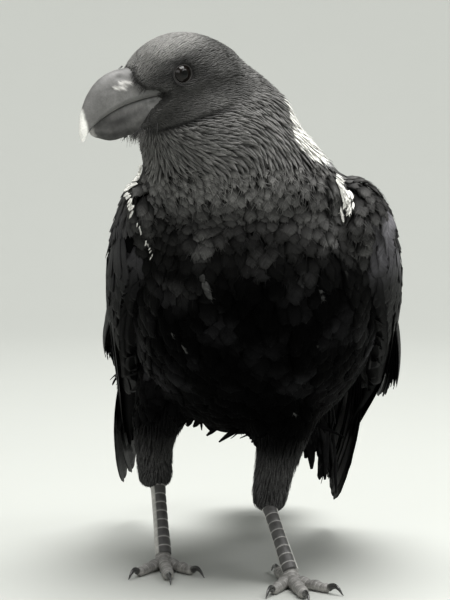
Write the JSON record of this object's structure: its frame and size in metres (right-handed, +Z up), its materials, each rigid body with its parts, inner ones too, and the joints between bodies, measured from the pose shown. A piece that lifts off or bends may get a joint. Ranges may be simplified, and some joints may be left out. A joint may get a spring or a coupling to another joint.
{
  "type": "standing white-necked raven",
  "caption": "Life-size still raven standing with its head turned to one side: deep arched bill, white hindneck patch, drooped folded wings and spread toes.",
  "frame": {"origin": "on the floor, under the middle of the bird's box", "axes": "+Z up; the body faces -Y, the tail points to +Y, the bird's left is +X; the head is turned towards -X"},
  "size_m": [0.2022, 0.3682, 0.3459],
  "materials": {
    "plumage": "black feathers with a faint satin sheen",
    "neck_plumage": "brownish-grey feathers of head and neck, white on the hindneck",
    "bill_horn": "dark horn, satin, ivory at the tip",
    "eye": "wet dark brown iris",
    "leg_scales": "dark grey scutes with paler edges",
    "claw_horn": "dark horn, satin"
  },
  "bodies": {
    "root": {"head": "neck_plumage", "bill_upper": "bill_horn", "bill_lower": "bill_horn", "eye_left": "eye", "eye_right": "eye", "neck": "neck_plumage", "trunk": "plumage", "tail": "plumage", "wing_left": "plumage", "thigh_left": "plumage", "tarsus_left": "leg_scales", "toe_left_3": "leg_scales", "claw_left_3": "claw_horn", "toe_left_1": "leg_scales", "claw_left_1": "claw_horn", "toe_left_2": "leg_scales", "claw_left_2": "claw_horn", "toe_left_4": "leg_scales", "claw_left_4": "claw_horn", "wing_right": "plumage", "thigh_right": "plumage", "tarsus_right": "leg_scales", "toe_right_3": "leg_scales", "claw_right_3": "claw_horn", "toe_right_1": "leg_scales", "claw_right_1": "claw_horn", "toe_right_2": "leg_scales", "claw_right_2": "claw_horn", "toe_right_4": "leg_scales", "claw_right_4": "claw_horn"}
  },
  "joints": []
}
